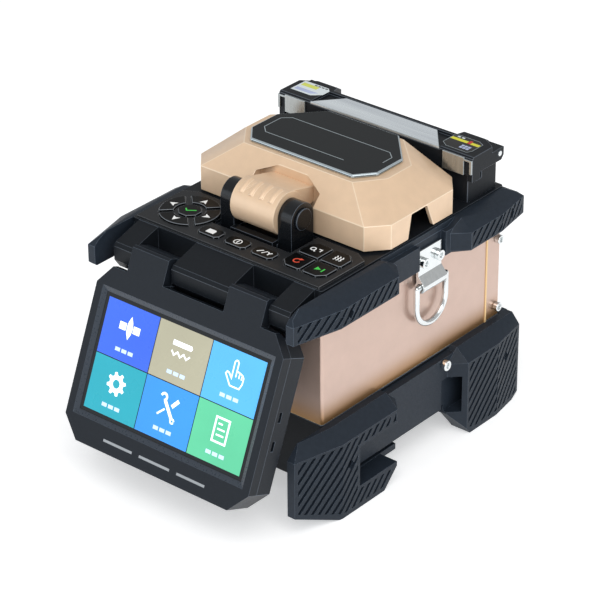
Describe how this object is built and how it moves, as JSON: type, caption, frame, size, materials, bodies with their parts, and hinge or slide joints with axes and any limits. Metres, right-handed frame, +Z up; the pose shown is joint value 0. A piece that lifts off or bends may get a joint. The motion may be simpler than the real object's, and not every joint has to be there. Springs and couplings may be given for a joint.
{
  "type": "fiber fusion splicer",
  "caption": "Portable fibre fusion splicer with tilting screen, hinged wind cover over a splice stage, tube heater with lid, keypad, strap rings and corner bumpers.",
  "frame": {"origin": "middle of the overall box in X and Y, on the floor plane that the rubber feet stand on", "axes": "+X to the user's right, +Y from the screen towards the rear ports, +Z up"},
  "size_m": [0.1532, 0.2205, 0.1622],
  "materials": {
    "gold_paint": "champagne gold satin metallic paint",
    "black_plastic": "fine textured moulding",
    "display_plastic": "smooth satin moulding",
    "keypad_film": "satin laminate",
    "key_plastic": "moulded key caps",
    "rubber": "soft matt moulded rubber",
    "bright_steel": "bright zinc plate",
    "pin_steel": "ground steel",
    "stage_metal": "machined and anodised",
    "plate_black": "black anodised plate",
    "bright_strip": "brushed",
    "groove_ceramic": "ground ceramic",
    "lens_black": "black anodised",
    "board_green": "solder mask",
    "cell_wrap": "shrink wrap",
    "pad_rubber": "firm pad",
    "panel_face": "lit colour panel behind clear glass",
    "clear_glass": "clear cover glass"
  },
  "bodies": {
    "main": {"base_tray": "black_plastic", "casing_wrap": "gold_paint", "casing_rear": "gold_paint", "port_panel": "black_plastic", "chassis": "stage_metal", "battery_pack": "cell_wrap", "main_board": "board_green", "lower_bumper_right": "rubber", "lower_bumper_left": "rubber", "upper_bumper_right": "rubber", "upper_bumper_left": "rubber", "deck": "black_plastic", "keypad_panel": "keypad_film", "keypad_board": "board_green", "side_screws": "bright_steel", "tray_screws": "bright_steel", "strap_bracket_right": "bright_steel", "strap_bracket_left": "bright_steel", "bracket_screws": "bright_steel", "display_hinge_pin": "pin_steel", "hinge_ears": "black_plastic", "cover_hinge_pin": "pin_steel", "hinge_caps": "black_plastic", "stage_base": "stage_metal", "groove_block": "groove_ceramic", "electrodes": "pin_steel", "electrode_covers": "black_plastic", "objective_lenses": "lens_black", "feed_motors": "pin_steel", "heater_base": "black_plastic", "heater_channel": "stage_metal", "heater_hinge_pin": "bright_steel"},
    "display": {"display_bezel": "display_plastic", "display_back": "display_plastic", "screen_panel": "panel_face", "screen_glass": "clear_glass", "display_board": "board_green"},
    "wind_cover": {"cover_shell": "gold_paint", "cover_top_plate": "plate_black", "cover_hinge_arm": "gold_paint", "cover_pressers": "pad_rubber"},
    "heater_cover": {"heater_lid": "black_plastic", "heater_strip": "bright_strip", "heater_clips": "bright_strip"},
    "ring_right": {"strap_ring_right": "bright_steel"},
    "ring_left": {"strap_ring_left": "bright_steel"},
    "sheath_clamp_right": {"sheath_lid_right": "stage_metal"},
    "sheath_clamp_left": {"sheath_lid_left": "stage_metal"},
    "key_ok": {"key_ok": "key_plastic"},
    "key_left": {"key_left": "key_plastic"},
    "key_right": {"key_right": "key_plastic"},
    "key_back": {"key_back": "key_plastic"},
    "key_front": {"key_front": "key_plastic"},
    "key_sheet": {"key_sheet": "key_plastic"},
    "key_info": {"key_info": "key_plastic"},
    "key_view": {"key_view": "key_plastic"},
    "key_zoom": {"key_zoom": "key_plastic"},
    "key_reset": {"key_reset": "key_plastic"},
    "key_heat": {"key_heat": "key_plastic"},
    "key_start": {"key_start": "key_plastic"}
  },
  "joints": [
    {"name": "display_tilt", "type": "hinge", "parent": "main", "child": "display", "pos_m": [0, -0.059, 0.1175], "axis": [-1, 0, 0], "range_deg": [-20, 90]},
    {"name": "wind_cover_hinge", "type": "hinge", "parent": "main", "child": "wind_cover", "pos_m": [0, -0.0155, 0.1446], "axis": [1, 0, 0], "range_deg": [0, 100]},
    {"name": "heater_cover_hinge", "type": "hinge", "parent": "main", "child": "heater_cover", "pos_m": [0, 0.096, 0.1525], "axis": [-1, 0, 0], "range_deg": [0, 100]},
    {"name": "ring_right_swing", "type": "hinge", "parent": "main", "child": "ring_right", "pos_m": [0.0678, 0.0363, 0.1018], "axis": [0, -1, 0], "range_deg": [-4, 130]},
    {"name": "ring_left_swing", "type": "hinge", "parent": "main", "child": "ring_left", "pos_m": [-0.0678, 0.0363, 0.1018], "axis": [0, 1, 0], "range_deg": [-4, 130]},
    {"name": "sheath_clamp_right_hinge", "type": "hinge", "parent": "main", "child": "sheath_clamp_right", "pos_m": [0.0345, 0.0403, 0.1382], "axis": [-1, 0, 0], "range_deg": [0, 90]},
    {"name": "sheath_clamp_left_hinge", "type": "hinge", "parent": "main", "child": "sheath_clamp_left", "pos_m": [-0.0345, 0.0403, 0.1382], "axis": [-1, 0, 0], "range_deg": [0, 90]},
    {"name": "key_ok_press", "type": "slide", "parent": "main", "child": "key_ok", "axis": [0, 0, -1], "range_m": [0, 0.0008], "stiffness_N_per_m": 900, "springref_m": -0.0003},
    {"name": "key_left_press", "type": "slide", "parent": "main", "child": "key_left", "axis": [0, 0, -1], "range_m": [0, 0.0008], "stiffness_N_per_m": 900, "springref_m": -0.0003},
    {"name": "key_right_press", "type": "slide", "parent": "main", "child": "key_right", "axis": [0, 0, -1], "range_m": [0, 0.0008], "stiffness_N_per_m": 900, "springref_m": -0.0003},
    {"name": "key_back_press", "type": "slide", "parent": "main", "child": "key_back", "axis": [0, 0, -1], "range_m": [0, 0.0008], "stiffness_N_per_m": 900, "springref_m": -0.0003},
    {"name": "key_front_press", "type": "slide", "parent": "main", "child": "key_front", "axis": [0, 0, -1], "range_m": [0, 0.0008], "stiffness_N_per_m": 900, "springref_m": -0.0003},
    {"name": "key_sheet_press", "type": "slide", "parent": "main", "child": "key_sheet", "axis": [0, 0, -1], "range_m": [0, 0.0008], "stiffness_N_per_m": 900, "springref_m": -0.0003},
    {"name": "key_info_press", "type": "slide", "parent": "main", "child": "key_info", "axis": [0, 0, -1], "range_m": [0, 0.0008], "stiffness_N_per_m": 900, "springref_m": -0.0003},
    {"name": "key_view_press", "type": "slide", "parent": "main", "child": "key_view", "axis": [0, 0, -1], "range_m": [0, 0.0008], "stiffness_N_per_m": 900, "springref_m": -0.0003},
    {"name": "key_zoom_press", "type": "slide", "parent": "main", "child": "key_zoom", "axis": [0, 0, -1], "range_m": [0, 0.0008], "stiffness_N_per_m": 900, "springref_m": -0.0003},
    {"name": "key_reset_press", "type": "slide", "parent": "main", "child": "key_reset", "axis": [0, 0, -1], "range_m": [0, 0.0008], "stiffness_N_per_m": 900, "springref_m": -0.0003},
    {"name": "key_heat_press", "type": "slide", "parent": "main", "child": "key_heat", "axis": [0, 0, -1], "range_m": [0, 0.0008], "stiffness_N_per_m": 900, "springref_m": -0.0003},
    {"name": "key_start_press", "type": "slide", "parent": "main", "child": "key_start", "axis": [0, 0, -1], "range_m": [0, 0.0008], "stiffness_N_per_m": 900, "springref_m": -0.0003}
  ]
}
